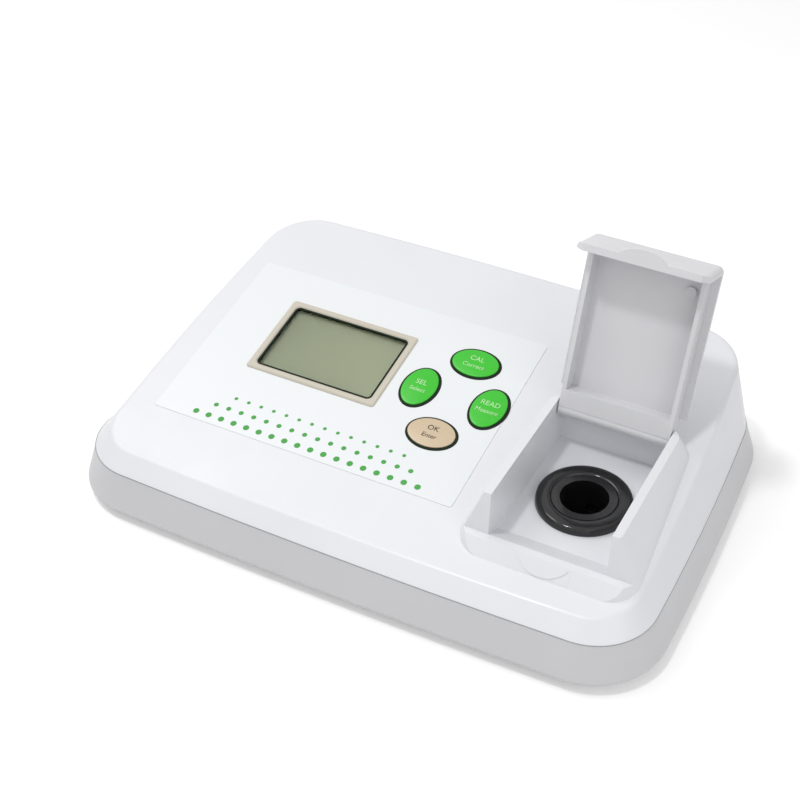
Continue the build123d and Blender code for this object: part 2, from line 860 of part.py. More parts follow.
hinge_axis = Axis((chamber_x, hinge_y, hinge_z), (1, 0, 0))
save(lid.part.rotate(hinge_axis, -lid_open_angle), "lid")

# Hinge pins, set in the chamber walls and free in the lid
with BuildPart() as hinge_pins:
    for side in (-1, 1):
        wall_face = chamber_x + side * chamber_half_width
        with BuildSketch(Plane((wall_face + side * pin_bury, hinge_y, hinge_z), z_dir=(-side, 0, 0))):
            Circle(pin_radius)
        extrude(amount=pin_bury + lid_side_gap + pin_reach)

save(hinge_pins.part, "hinge_pins")

# Rear panel with cut-outs for the inlet and the switch
with BuildPart() as rear_panel:
    with BuildSketch(Plane.XZ.offset(-panel_y)):
        with Locations((panel_x, panel_z)):
            Rectangle(panel_width, panel_height)
        with Locations((inlet_x, panel_z)):
            Rectangle(inlet_width, inlet_height, mode=Mode.SUBTRACT)
        with Locations((rocker_x, panel_z)):
            Rectangle(rocker_frame_width, rocker_frame_height, mode=Mode.SUBTRACT)
    extrude(amount=-panel_thick)

save(rear_panel.part, "rear_panel")

# Mains inlet: flanged body with a keyed mouth
with BuildPart() as power_inlet:
    with BuildSketch(Plane.XZ.offset(-panel_front)):
        with Locations((inlet_x, panel_z)):
            Rectangle(inlet_width, inlet_height)
    extrude(amount=inlet_depth)
    with BuildSketch(Plane.XZ.offset(-panel_front)):
        with Locations((inlet_x, panel_z)):
            Rectangle(inlet_width + 2 * flange_lip, inlet_height + 2 * flange_lip)
    extrude(amount=-flange_thick)
    with BuildSketch(Plane.XZ.offset(-panel_front - flange_thick)) as mouth:
        with Locations((inlet_x, panel_z)):
            Rectangle(inlet_mouth_width, inlet_mouth_height)
        chamfer(mouth.vertices().sort_by(Axis.Z)[-2:], inlet_mouth_cut)
    extrude(amount=inlet_mouth_depth, mode=Mode.SUBTRACT)

save(power_inlet.part, "power_inlet")

# Three contact blades in the inlet, the earth blade above the other two
with BuildPart() as inlet_blades:
    with BuildSketch(Plane.XZ.offset(-panel_front - flange_thick + inlet_mouth_depth)):
        with Locations(
            (inlet_x, panel_z + blade_rise),
            (inlet_x - blade_spread, panel_z - blade_rise),
            (inlet_x + blade_spread, panel_z - blade_rise),
        ):
            Rectangle(blade_width, blade_height)
    extrude(amount=-blade_length)

save(inlet_blades.part, "inlet_blades")

# Power switch: flanged frame with a pocket, and a rocker that tips in it
pivot_y = panel_front + flange_thick - rocker_pivot_depth
pocket_half = (rocker_half_height**2 + rocker_face**2) ** 0.5 + rocker_side_gap
with BuildPart() as rocker_frame:
    with BuildSketch(Plane.XZ.offset(-panel_front)):
        with Locations((rocker_x, panel_z)):
            Rectangle(rocker_frame_width, rocker_frame_height)
    extrude(amount=rocker_depth)
    with BuildSketch(Plane.XZ.offset(-panel_front)):
        with Locations((rocker_x, panel_z)):
            Rectangle(rocker_frame_width + 2 * flange_lip, rocker_frame_height + 2 * flange_lip)
    extrude(amount=-flange_thick)
    with BuildSketch(Plane.XZ.offset(-panel_front - flange_thick)):
        with Locations((rocker_x, panel_z)):
            Rectangle(2 * (rocker_half_width + rocker_side_gap), 2 * pocket_half)
    extrude(amount=rocker_pocket, mode=Mode.SUBTRACT)
    with BuildSketch(Plane.YZ.offset(rocker_x)):
        with Locations((pivot_y, panel_z)):
            Circle(trunnion_radius + pin_bore_gap)
    extrude(amount=rocker_half_width + trunnion_length + fit_gap, both=True, mode=Mode.SUBTRACT)

save(rocker_frame.part, "rocker_frame")

with BuildPart() as power_rocker:
    with BuildSketch(Plane.YZ.offset(rocker_x)):
        with BuildLine():
            Polyline(
                (pivot_y + rocker_face, panel_z - rocker_half_height),
                (pivot_y + rocker_dip, panel_z),
                (pivot_y + rocker_face, panel_z + rocker_half_height),
                (pivot_y - rocker_dip, panel_z + rocker_half_height),
                (pivot_y - rocker_face, panel_z),
                (pivot_y - rocker_dip, panel_z - rocker_half_height),
                close=True,
            )
        make_face()
    extrude(amount=rocker_half_width, both=True)
    with BuildSketch(Plane.YZ.offset(rocker_x)):
        with Locations((pivot_y, panel_z)):
            Circle(trunnion_radius)
    extrude(amount=rocker_half_width + trunnion_length, both=True)

rocker_axis = Axis((rocker_x, pivot_y, panel_z), (1, 0, 0))
save(power_rocker.part.rotate(rocker_axis, -rocker_swing / 2), "power_rocker")

# Power board on its pillars, with the transformer
with BuildPart() as power_board:
    with BuildSketch(Plane.XY.offset(power_height)):
        with Locations(power_centre):
            Rectangle(power_width, power_depth)
    extrude(amount=board_thick)

save(power_board.part, "power_board")

coil_centre = (power_centre[0] + coil_offset, power_centre[1])
with BuildPart() as transformer:
    with BuildSketch(Plane.XY.offset(power_height + board_thick)):
        with Locations(coil_centre):
            Rectangle(coil_width, coil_depth)
    extrude(amount=coil_height)
    with BuildSketch(Plane.XY.offset(power_height + board_thick)):
        with Locations(coil_centre):
            Rectangle(core_width, coil_depth + coil_height / 2)
    extrude(amount=coil_height * 2 / 3)

save(transformer.part, "transformer")
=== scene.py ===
# %% [markdown]
# # A bench turbidity meter, dressed for a picture
# The imported model is the skeleton: every shell, key, board and pin already has its size and place.
# This lesson gives it skins: moulded plastic, a printed label, glossy keys, a polished collar.
# The first cell loads the skeleton.

# %% Load the model
import math

import bmesh
import bpy
from mathutils import Matrix, Vector


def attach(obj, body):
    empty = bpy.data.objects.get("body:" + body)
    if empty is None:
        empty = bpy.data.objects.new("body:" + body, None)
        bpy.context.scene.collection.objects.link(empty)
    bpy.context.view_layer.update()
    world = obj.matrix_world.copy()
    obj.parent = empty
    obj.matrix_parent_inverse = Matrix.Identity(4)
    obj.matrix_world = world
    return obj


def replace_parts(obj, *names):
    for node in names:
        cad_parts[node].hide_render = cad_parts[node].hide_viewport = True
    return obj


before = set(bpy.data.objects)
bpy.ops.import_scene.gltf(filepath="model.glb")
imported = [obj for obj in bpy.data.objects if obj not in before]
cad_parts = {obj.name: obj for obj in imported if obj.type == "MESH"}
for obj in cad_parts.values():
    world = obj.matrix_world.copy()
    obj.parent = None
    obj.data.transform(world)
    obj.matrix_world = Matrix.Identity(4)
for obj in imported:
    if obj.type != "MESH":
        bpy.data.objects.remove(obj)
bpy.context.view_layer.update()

# %% [markdown]
# The keypad, the display and the keys lie on a deck that slopes down to the front.
# It is easiest to draw them flat, as on paper, and then to lay the paper on the deck.
# One matrix does that: X stays X, Y climbs the slope, and Z is the height above the deck.

# %% The sloped deck as a sheet of paper
MM = 0.001
DECK_SLOPE = math.radians(10.37)
DECK = Matrix.Translation((0, 0, 54.3 * MM)) @ Matrix.Rotation(DECK_SLOPE, 4, "X")


def lay_on_deck(mesh, x=0.0, y=0.0, height=0.0):
    """Moves a flat drawing to a place on the deck, in millimetres."""
    mesh.transform(DECK @ Matrix.Translation((x * MM, y * MM, height * MM)))
    return mesh


print("deck normal:", [round(v, 3) for v in DECK.to_3x3() @ Vector((0, 0, 1))])

# %% [markdown]
# New pieces all need the same two facts: the body that carries them and a material. A small
# helper keeps that in one place, so no piece is forgotten.
# Others close a drawing to a plain mesh, lay an oval ring of points and skin the space between rings.

# %% Helpers that turn a drawing into a finished piece
def to_mesh(made, name):
    """Closes a drawing and returns it as a plain mesh."""
    mesh = bpy.data.meshes.new(name)
    made.to_mesh(mesh)
    made.free()
    return mesh


def join_meshes(name, meshes):
    """One mesh of several."""
    joined = bmesh.new()
    for mesh in meshes:
        joined.from_mesh(mesh)
    return to_mesh(joined, name)


def ring_of_points(made, half_x, half_y, height, around, x=0.0, y=0.0):
    """Points in order on an oval about x and y, in millimetres."""
    turns = [2 * math.pi * k / around for k in range(around)]
    spots = [(x + half_x * math.cos(turn), y + half_y * math.sin(turn), height) for turn in turns]
    return [made.verts.new([c * MM for c in spot]) for spot in spots]


def skin(made, rings):
    """Four-sided faces between each ring and the next."""
    for low, high in zip(rings, rings[1:]):
        for k in range(len(low)):
            after = (k + 1) % len(low)
            made.faces.new((low[k], low[after], high[after], high[k]))


def add_piece(name, mesh, body, material, smooth=True):
    """Makes an object of a mesh and hangs it on a body of the model."""
    piece = bpy.data.objects.new(name, mesh)
    bpy.context.scene.collection.objects.link(piece)
    mesh.materials.clear()
    mesh.materials.append(material)
    for face in mesh.polygons:
        face.use_smooth = smooth
    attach(piece, body)
    print(name, "has", len(mesh.polygons), "faces and rides on", body)
    return piece


def dress(node, material):
    """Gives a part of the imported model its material."""
    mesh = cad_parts[node].data
    mesh.materials.clear()
    mesh.materials.append(material)


# %% [markdown]
# ## Moulded plastic
# A moulded case is never one flat colour. The tool leaves a fine grain that breaks up the
# highlight, the tone drifts a little over the width of the case, and handling leaves faint dull
# patches. Three noises at three scales do this: one for the tone, one for the dullness and a very
# fine one for the grain. All of them read Object coordinates, so they stay put on the part.

# %% Plastic with grain, drifting tone and dull patches
TONE_SCALE = 9
DULL_SCALE = 55
GRAIN_STRENGTH = 0.6
NOISE_SPAN = (0.3, 0.7)  # nearly all of a noise lies between these values


def connect(tree, source, output, target, socket):
    tree.links.new(source.outputs[output], target.inputs[socket])


def new_material(name):
    """A material, its node tree and its main shader."""
    material = bpy.data.materials.new(name)
    material.use_nodes = True
    return material, material.node_tree, material.node_tree.nodes["Principled BSDF"]


def map_range(tree, value, low, high, from_low=0.0, from_high=1.0):
    """A node that stretches a value from one range to another."""
    mapped = tree.nodes.new("ShaderNodeMapRange")
    mapped.inputs["From Min"].default_value = from_low
    mapped.inputs["From Max"].default_value = from_high
    mapped.inputs["To Min"].default_value = low
    mapped.inputs["To Max"].default_value = high
    tree.links.new(value, mapped.inputs["Value"])
    return mapped


def noise_on_object(tree, scale, detail):
    """A noise laid over the part in metres."""
    place = tree.nodes.new("ShaderNodeTexCoord")
    noise = tree.nodes.new("ShaderNodeTexNoise")
    noise.inputs["Scale"].default_value = scale
    noise.inputs["Detail"].default_value = detail
    connect(tree, place, "Object", noise, "Vector")
    return noise


def moulded_plastic(
    name, colour, drift=0.03, shine=0.38, dull=0.12, grain=0.00003, grain_scale=2600, gleam=0.5
):
    """Opaque plastic: drift is how far its tone wanders, grain the height of its texture."""
    material, tree, shader = new_material(name)
    shader.inputs["Specular IOR Level"].default_value = gleam
    tone = tree.nodes.new("ShaderNodeValToRGB")
    dark, light = tone.color_ramp.elements
    dark.position, light.position = NOISE_SPAN
    dark.color = (*[c * (1 - drift) for c in colour], 1)
    light.color = (*[min(1, c * (1 + drift / 2)) for c in colour], 1)
    connect(tree, noise_on_object(tree, TONE_SCALE, 3), "Fac", tone, "Fac")
    connect(tree, tone, "Color", shader, "Base Color")
    dullness = noise_on_object(tree, DULL_SCALE, 5).outputs["Fac"]
    patches = map_range(tree, dullness, shine, shine + dull, *NOISE_SPAN)
    connect(tree, patches, "Result", shader, "Roughness")
    bump = tree.nodes.new("ShaderNodeBump")
    bump.inputs["Distance"].default_value = grain
    bump.inputs["Strength"].default_value = GRAIN_STRENGTH
    connect(tree, noise_on_object(tree, grain_scale, 2), "Fac", bump, "Height")
    connect(tree, bump, "Normal", shader, "Normal")
    print("plastic:", name)
    return material


case_white = moulded_plastic("case_white", (0.765, 0.77, 0.80), shine=0.28)
# The lid is the case's plastic; its darker tone is painted shade, the shade on the lid's inside.
lid_shaded_white = moulded_plastic("lid_shaded_white", (0.68, 0.68, 0.70), drift=0.05, shine=0.3)
skirt_grey = moulded_plastic("skirt_grey", (0.60, 0.60, 0.615), shine=0.36)
panel_grey = moulded_plastic("panel_grey", (0.6, 0.6, 0.61), shine=0.5)
matt_black = moulded_plastic("matt_black", (0.016, 0.016, 0.017), drift=0.2, shine=0.55)
foot_black = moulded_plastic(
    "foot_black", (0.02, 0.02, 0.02), drift=0.3, shine=0.75, grain_scale=900
)
for node, finish in {
    "upper_shell": case_white,
    "lower_shell": skirt_grey,
    "lid": lid_shaded_white,
    "rear_panel": panel_grey,
    "power_inlet": matt_black,
    "rocker_frame": matt_black,
    "display_frame": matt_black,
    "optical_block": matt_black,
    "key_switches": matt_black,
    "rubber_feet": foot_black,
}.items():
    dress(node, finish)

# %% [markdown]
# ## Printed label
# The label is a film with the colour printed on its back, so it is whiter and smoother than the
# case, with a slight ripple where it is glued. A long soft wave in the bump gives that ripple.

# %% Film for the label and plastic for the display's frame
label_film = moulded_plastic(
    "label_film",
    (0.79, 0.81, 0.825),
    drift=0.012,
    shine=0.3,
    dull=0.06,
    grain=0.00004,
    grain_scale=120,
)
bezel_beige = moulded_plastic("bezel_beige", (0.58, 0.54, 0.45), drift=0.05, shine=0.35)
dress("keypad_label", label_film)
dress("display_bezel", bezel_beige)


# %% [markdown]
# A liquid crystal display at rest is a grey-green plate. It isn't even: it is a little brighter
# towards one side, and the frame's shadow darkens its upper and left edges. The first is painted
# light, a gradient along X; the second comes by itself, as the plate lies deep.

# %% The display plate and the clear pane over it
# Painted light: over this stretch of X, in metres, the plate grows brighter.
PLATE_LIGHT_SPAN = (-0.100, -0.027)
PLATE_SPECKLE = 0.12


def display_plate():
    """A grey-green plate with painted light that makes it a little brighter to the right."""
    material, tree, shader = new_material("display_plate")
    place = tree.nodes.new("ShaderNodeTexCoord")
    across = tree.nodes.new("ShaderNodeSeparateXYZ")
    connect(tree, place, "Object", across, "Vector")
    spread = map_range(tree, across.outputs["X"], 0.0, 1.0, *PLATE_LIGHT_SPAN)
    tone = tree.nodes.new("ShaderNodeValToRGB")
    tone.color_ramp.elements[0].color = (0.26, 0.30, 0.17, 1)
    tone.color_ramp.elements[1].color = (0.35, 0.39, 0.23, 1)
    connect(tree, spread, "Result", tone, "Fac")
    speckle = tree.nodes.new("ShaderNodeMixRGB")
    speckle.blend_type = "MULTIPLY"
    speckle.inputs["Fac"].default_value = PLATE_SPECKLE
    connect(tree, tone, "Color", speckle, "Color1")
    connect(tree, noise_on_object(tree, 900, 2), "Fac", speckle, "Color2")
    connect(tree, speckle, "Color", shader, "Base Color")
    shader.inputs["Roughness"].default_value = 0.35
    return material


def clear_plastic(name, tint, roughness):
    """Clear plastic or glass: the light goes through, and faint streaks dull its gleam."""
    material, tree, shader = new_material(name)
    shader.inputs["Base Color"].default_value = (*tint, 1)
    shader.inputs["Transmission Weight"].default_value = 1.0
    shader.inputs["IOR"].default_value = 1.46
    smear = noise_on_object(tree, 70, 4).outputs["Fac"]
    streaks = map_range(tree, smear, roughness, roughness + 0.04)
    connect(tree, streaks, "Result", shader, "Roughness")
    return material


dress("display_glass", display_plate())
pane_clear = clear_plastic("pane_clear", (0.97, 0.98, 0.96), 0.02)
lamp_glass = clear_plastic("lamp_glass", (0.98, 0.98, 0.98), 0.01)
dress("display_pane", pane_clear)
dress("beam_lens", lamp_glass)
dress("lamp", lamp_glass)


# %% [markdown]
# ## Metal and circuit board
# Turned metal has fine rings, sheet metal has streaks. For small screws and holders a noise that
# is stretched along one axis reads as either. The circuit boards are green lacquer over copper.

# %% Metals, the boards and the transformer core
STREAK_STRETCH = (1, 1, 14)


def worked_metal(name, colour, roughness=0.3):
    """Turned or rolled metal, with streaks along the upright axis."""
    material, tree, shader = new_material(name)
    shader.inputs["Metallic"].default_value = 1.0
    shader.inputs["Base Color"].default_value = (*colour, 1)
    noise = noise_on_object(tree, 700, 3)
    mapping = tree.nodes.new("ShaderNodeMapping")
    mapping.inputs["Scale"].default_value = STREAK_STRETCH
    place = tree.nodes.new("ShaderNodeTexCoord")
    connect(tree, place, "Object", mapping, "Vector")
    connect(tree, mapping, "Vector", noise, "Vector")
    wear = map_range(tree, noise.outputs["Fac"], roughness - 0.1, roughness + 0.15)
    connect(tree, wear, "Result", shader, "Roughness")
    return material


steel = worked_metal("steel", (0.58, 0.58, 0.60))
aluminium = worked_metal("aluminium", (0.70, 0.70, 0.72), 0.38)
brass = worked_metal("brass", (0.78, 0.60, 0.30), 0.25)
board_green = moulded_plastic(
    "board_green", (0.02, 0.16, 0.06), drift=0.25, shine=0.25, grain_scale=500
)
for node, finish in {
    "case_screws": steel,
    "board_screws": steel,
    "hinge_pins": steel,
    "transformer": steel,
    "lamp_holder": aluminium,
    "detector_holder": aluminium,
    "inlet_blades": brass,
    "main_board": board_green,
    "power_board": board_green,
    "light_detector": board_green,
}.items():
    dress(node, finish)
print("metals and boards are dressed")

# %% [markdown]
# ## Printing ink
# Screen-printed ink is nearly even and hardly shines, so it is the same plastic with less gleam.
# The same flat finish also serves for the painted shadow lines.

# %% The ink
def printing_ink(name, colour):
    """Flat printed ink: nearly even, with the fine unevenness of a screen print."""
    return moulded_plastic(
        name, colour, drift=0.08, shine=0.45, dull=0.08, grain=0.00001, grain_scale=1500, gleam=0.15
    )


dot_ink = printing_ink("dot_ink", (0.08, 0.37, 0.08))


# %% [markdown]
# ## Printed dots
# Three rows of green dots run under the display. They shrink away from the front, and each row is
# two dots shorter than the one before. Something that repeats by a rule is work for Geometry
# Nodes: a line of points for each row, one disc on every point. The sizes are the tree's inputs,
# so a row can be made longer without touching the tree.

# %% A tree that prints one row of dots
INK_THICKNESS = 0.06
LETTER_EXTRUDE = 0.03


def new_tree(name, inputs):
    """A Geometry Nodes tree with named number inputs and a mesh output."""
    tree = bpy.data.node_groups.new(name, "GeometryNodeTree")
    tree.interface.new_socket("Geometry", in_out="INPUT", socket_type="NodeSocketGeometry")
    tree.interface.new_socket("Geometry", in_out="OUTPUT", socket_type="NodeSocketGeometry")
    for label, kind, value in inputs:
        socket = tree.interface.new_socket(label, in_out="INPUT", socket_type=kind)
        socket.default_value = value
    tree.nodes.new("NodeGroupInput")
    tree.nodes.new("NodeGroupOutput")
    return tree


def end_tree(tree, geometry_socket, material):
    """Every tree ends the same way: real geometry in place of instances, then the material."""
    real = tree.nodes.new("GeometryNodeRealizeInstances")
    paint = tree.nodes.new("GeometryNodeSetMaterial")
    paint.inputs["Material"].default_value = material
    tree.links.new(geometry_socket, real.inputs[0])
    tree.links.new(real.outputs[0], paint.inputs["Geometry"])
    tree.links.new(paint.outputs[0], tree.nodes["Group Output"].inputs[0])


def bake(tree, values, name, start=None):
    """Runs a tree once with these input values and returns the result as a plain mesh."""
    carrier = bpy.data.objects.new(name + "_carrier", start or bpy.data.meshes.new(name + "_start"))
    bpy.context.scene.collection.objects.link(carrier)
    modifier = carrier.modifiers.new(name, "NODES")
    modifier.node_group = tree
    for item in tree.interface.items_tree:
        if item.in_out == "INPUT" and item.name in values:
            modifier[item.identifier] = values[item.name]
    evaluated = carrier.evaluated_get(bpy.context.evaluated_depsgraph_get())
    mesh = bpy.data.meshes.new_from_object(evaluated)
    mesh.name = name
    bpy.data.objects.remove(carrier)
    return mesh


def dot_row_tree(material):
    """A line of points with a thin disc on each."""
    tree = new_tree(
        "dot_row",
        [
            ("Count", "NodeSocketInt", 18),
            ("Pitch", "NodeSocketFloat", 0.008),
            ("Radius", "NodeSocketFloat", 0.00175),
        ],
    )
    given = tree.nodes["Group Input"]
    step = tree.nodes.new("ShaderNodeCombineXYZ")
    row = tree.nodes.new("GeometryNodeMeshLine")
    disc = tree.nodes.new("GeometryNodeMeshCylinder")
    spread = tree.nodes.new("GeometryNodeInstanceOnPoints")
    disc.inputs["Vertices"].default_value = 28
    disc.inputs["Depth"].default_value = INK_THICKNESS * MM
    connect(tree, given, "Pitch", step, "X")
    connect(tree, given, "Count", row, "Count")
    connect(tree, step, "Vector", row, "Offset")
    connect(tree, given, "Radius", disc, "Radius")
    connect(tree, row, "Mesh", spread, "Points")
    connect(tree, disc, "Mesh", spread, "Instance")
    end_tree(tree, spread.outputs[0], material)
    return tree


# %% [markdown]
# The label's face lies 0.2 mm above the deck, so the ink starts there. Each row is baked to a
# plain mesh, laid on the deck and joined to one piece.

# %% Three rows of dots on the label
LABEL_FACE = 0.2
DOT_PITCH = 8.0
DOT_LIFT = 0.02
ROW_MIDDLE = -44.0
DOT_ROWS = ((18, -62.5, 3.5), (16, -54.5, 2.8), (14, -46.5, 2.1))  # count, y and diameter

row_tree = dot_row_tree(dot_ink)
rows = []
for count, y, diameter in DOT_ROWS:
    sizes = {"Count": count, "Pitch": DOT_PITCH * MM, "Radius": diameter / 2 * MM}
    row = bake(row_tree, sizes, f"dots_{count}")
    row_start = ROW_MIDDLE - (count - 1) / 2 * DOT_PITCH
    rows.append(lay_on_deck(row, row_start, y, LABEL_FACE + DOT_LIFT))
dots = join_meshes("printed_dots", rows)
add_piece("printed_dots", dots, "case", dot_ink, smooth=False)

# %% [markdown]
# ## Keys
# Three keys are green and one is beige. The line round them and their words are printed.

# %% Key finishes
key_green = moulded_plastic("key_green", (0.035, 0.52, 0.018), drift=0.08, shine=0.22, dull=0.08)
key_beige = moulded_plastic("key_beige", (0.62, 0.49, 0.33), drift=0.06, shine=0.25, dull=0.08)
# One near-black ink for the printed key lines and for the painted shadows at the keys and display.
dark_print_and_shade = printing_ink("dark_print_and_shade", (0.006, 0.014, 0.006))
letter_dark = printing_ink("letter_dark", (0.03, 0.025, 0.02))
letter_pale = printing_ink("letter_pale", (0.52, 0.78, 0.42))

# %% [markdown]
# Each key is an oval cap with a low crown, glossy, with a dark line round it. The crown is drawn
# as rings of points: each ring is a smaller oval, a little higher than the last, so the top bulges
# like a drop. A plain scaled sphere would be far too round. The cap takes the place of the
# packed key, is a little smaller all round and moves with its body.

# %% Crowned oval caps
KEYS = {  # x, y, length along X and length along Y
    "upper_key": (14.3, 27.2, 28.0, 20.0),
    "lower_key": (14.3, -27.2, 28.0, 20.0),
    "left_key": (-6.5, 0.0, 20.0, 28.0),
    "right_key": (35.1, 0.0, 20.0, 28.0),
}
CAP_INSET = 0.5
CAP_FOOT = -3.2
CAP_RIM = 0.9
CAP_CROWN = 0.5
SHOULDER_HEIGHT = 0.3
SHOULDER_SHARE = 0.03
SHOULDER_TURNS = (0.5, 1.0, 1.5)


def crowned_oval(name, long_x, long_y, steps=9, around=72):
    """An oval drop: straight side from foot to rim, rounded shoulder, low crown on top."""
    made = bmesh.new()
    side_top = CAP_RIM - SHOULDER_HEIGHT
    profile = [(1.0, CAP_FOOT), (1.0, side_top)]
    for turn in SHOULDER_TURNS:
        share = 1 - SHOULDER_SHARE * (1 - math.cos(turn))
        profile.append((share, side_top + SHOULDER_HEIGHT * math.sin(turn)))
    for i in range(1, steps):
        share = 1 - i / steps
        profile.append(((1 - SHOULDER_SHARE) * share, CAP_RIM + CAP_CROWN * (1 - share**2)))
    rings = [
        ring_of_points(made, share * long_x / 2, share * long_y / 2, height, around)
        for share, height in profile
    ]
    skin(made, rings)
    top = made.verts.new((0, 0, (CAP_RIM + CAP_CROWN) * MM))
    for k in range(around):
        made.faces.new((rings[-1][k], rings[-1][(k + 1) % around], top))
    made.faces.new(reversed(rings[0]))
    return to_mesh(made, name)


for node, (x, y, long_x, long_y) in KEYS.items():
    wide, deep = long_x - 2 * CAP_INSET, long_y - 2 * CAP_INSET
    cap = lay_on_deck(crowned_oval(node + "_cap", wide, deep), x, y)
    finish, slot = (key_beige, "key_beige") if node == "lower_key" else (key_green, "key_green")
    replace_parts(add_piece(node + "_cap", cap, node, finish), node)

# %% [markdown]
# The dark line is a flat band that follows an oval, so it is made as a curve with a profile: an
# oval curve, swept by a small flat rectangle. A tree does this for all four keys, with the two
# half axes and the band's width as inputs. Each cap casts a shadow to its lower right: a second
# band, a little larger and flatter, is painted shadow there, shifted to show on that side only.

# %% A tree that draws an oval band
BAND_WIDTH = 1.0
BAND_HEIGHT = 0.3
BAND_STANDOFF = 0.1
SHADE_SHIFT = 0.4
SHADE_HEIGHT = 0.24


def oval_band_tree(material):
    """A flat rectangle swept round an oval."""
    tree = new_tree(
        "oval_band",
        [
            ("Half X", "NodeSocketFloat", 0.014),
            ("Half Y", "NodeSocketFloat", 0.010),
            ("Width", "NodeSocketFloat", 0.001),
            ("Height", "NodeSocketFloat", 0.0003),
        ],
    )
    given = tree.nodes["Group Input"]
    circle = tree.nodes.new("GeometryNodeCurvePrimitiveCircle")
    circle.inputs["Resolution"].default_value = 96
    circle.inputs["Radius"].default_value = 1.0
    stretch = tree.nodes.new("ShaderNodeCombineXYZ")
    stretch.inputs["Z"].default_value = 1.0
    shape = tree.nodes.new("GeometryNodeTransform")
    profile = tree.nodes.new("GeometryNodeCurvePrimitiveQuadrilateral")
    sweep = tree.nodes.new("GeometryNodeCurveToMesh")
    connect(tree, given, "Half X", stretch, "X")
    connect(tree, given, "Half Y", stretch, "Y")
    connect(tree, circle, "Curve", shape, "Geometry")
    connect(tree, stretch, "Vector", shape, "Scale")
    connect(tree, given, "Width", profile, "Width")
    connect(tree, given, "Height", profile, "Height")
    tree.links.new(shape.outputs[0], sweep.inputs["Curve"])
    connect(tree, profile, "Curve", sweep, "Profile Curve")
    end_tree(tree, sweep.outputs[0], material)
    return tree


band_tree = oval_band_tree(dark_print_and_shade)
bands = []
for node, (x, y, long_x, long_y) in KEYS.items():
    sizes = {
        "Half X": (long_x / 2 + BAND_STANDOFF) * MM,
        "Half Y": (long_y / 2 + BAND_STANDOFF) * MM,
        "Width": BAND_WIDTH * MM,
        "Height": BAND_HEIGHT * MM,
    }
    bands.append(lay_on_deck(bake(band_tree, sizes, node + "_band"), x, y, LABEL_FACE))
    # The second band is painted shadow: the shade each raised cap casts to its lower right.
    for half_axis in ("Half X", "Half Y"):
        sizes[half_axis] += SHADE_SHIFT * MM
    shade = bake(band_tree, {**sizes, "Height": SHADE_HEIGHT * MM}, node + "_shade")
    bands.append(lay_on_deck(shade, x + SHADE_SHIFT, y - SHADE_SHIFT, LABEL_FACE))
# One piece holds the printed lines and their painted shadows.
key_lines_and_shadows = join_meshes("key_lines_and_shadows", bands)
add_piece("key_lines_and_shadows", key_lines_and_shadows, "case", dark_print_and_shade, smooth=False)

# %% [markdown]
# The keys carry plain words. Text is a flat curve, so it is turned into a mesh first and only then
# laid on the crown of its key. The words sit just above the crown and move with the key.

# %% Words on the keys
TOP_WORD = (4.6, 2.6)  # size, and how far above the middle of the key
BOTTOM_WORD = (3.9, -2.8)
WORD_HEIGHT = 1.38
WORDS = {
    "upper_key": ("CAL", "Correct"),
    "left_key": ("SEL", "Select"),
    "right_key": ("READ", "Measure"),
    "lower_key": ("OK", "Enter"),
}


def lettering(text, size):
    """Text as a thin flat mesh, centred on the origin."""
    curve = bpy.data.curves.new("lettering", "FONT")
    curve.body = text
    curve.size = size * MM
    curve.align_x = "CENTER"
    curve.align_y = "CENTER"
    curve.extrude = LETTER_EXTRUDE * MM
    carrier = bpy.data.objects.new("lettering", curve)
    bpy.context.scene.collection.objects.link(carrier)
    bpy.context.view_layer.update()
    evaluated = carrier.evaluated_get(bpy.context.evaluated_depsgraph_get())
    mesh = bpy.data.meshes.new_from_object(evaluated)
    bpy.data.objects.remove(carrier)
    return mesh


for node, words in WORDS.items():
    x, y = KEYS[node][:2]
    lines = [
        lay_on_deck(lettering(text, size), x, y + offset, WORD_HEIGHT)
        for text, (size, offset) in zip(words, (TOP_WORD, BOTTOM_WORD))
    ]
    ink = letter_dark if node == "lower_key" else letter_pale
    both_words = join_meshes(node + "_words", lines)
    add_piece(node + "_words", both_words, node, ink, smooth=False)

# %% [markdown]
# ## Collar
# The black ring in the chamber is polished. Its charm is in the highlights that run round it, and
# those need rounded edges. It is a lathe piece: one profile, turned about the axis of the well.
# The profile has a few close points at each rounded edge, and smooth shading does the rest.

# %% Polished black, and the turned collar
gloss_black = moulded_plastic(
    "gloss_black", (0.010, 0.010, 0.011), drift=0.1, shine=0.10, dull=0.06, grain=0.000004
)
dress("well_sleeve", gloss_black)
dress("power_rocker", gloss_black)
WELL = (103.4, -28.9)
COLLAR_PROFILE = [  # radius and height, from the inner foot outwards, up and back in
    (15.2, 36.1), (19.9, 36.1), (19.9, 39.0), (20.2, 39.02), (25.2, 39.02), (25.45, 39.1),
    (25.45, 39.9), (25.2, 41.2), (24.9, 42.4), (24.1, 43.1), (22.8, 43.28), (19.0, 43.28),
    (18.2, 43.15), (17.5, 42.7), (17.3, 42.3), (17.25, 42.0), (15.2, 42.0),
]


def turned(name, profile, x, y, around=96):
    """A closed profile of (radius, height) points, turned about an upright axis."""
    made = bmesh.new()
    rings = [ring_of_points(made, radius, radius, height, around, x, y) for radius, height in profile]
    skin(made, rings + rings[:1])
    bmesh.ops.recalc_face_normals(made, faces=made.faces)
    return to_mesh(made, name)


collar_mesh = turned("collar_ring", COLLAR_PROFILE, *WELL)
collar = add_piece("collar_ring", collar_mesh, "case", gloss_black)
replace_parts(collar, "well_collar")

# %% [markdown]
# ## Seam
# The case is an upper and a lower shell, and a fine shaded line runs round it where they meet. It
# could be painted, but a line that follows an edge is sharper as geometry. The lower shell's rim
# is read from its mesh as a closed wire, and a tree sweeps a thin square along that wire. The same
# tree draws any other thin line of the meter, once its wire is given.

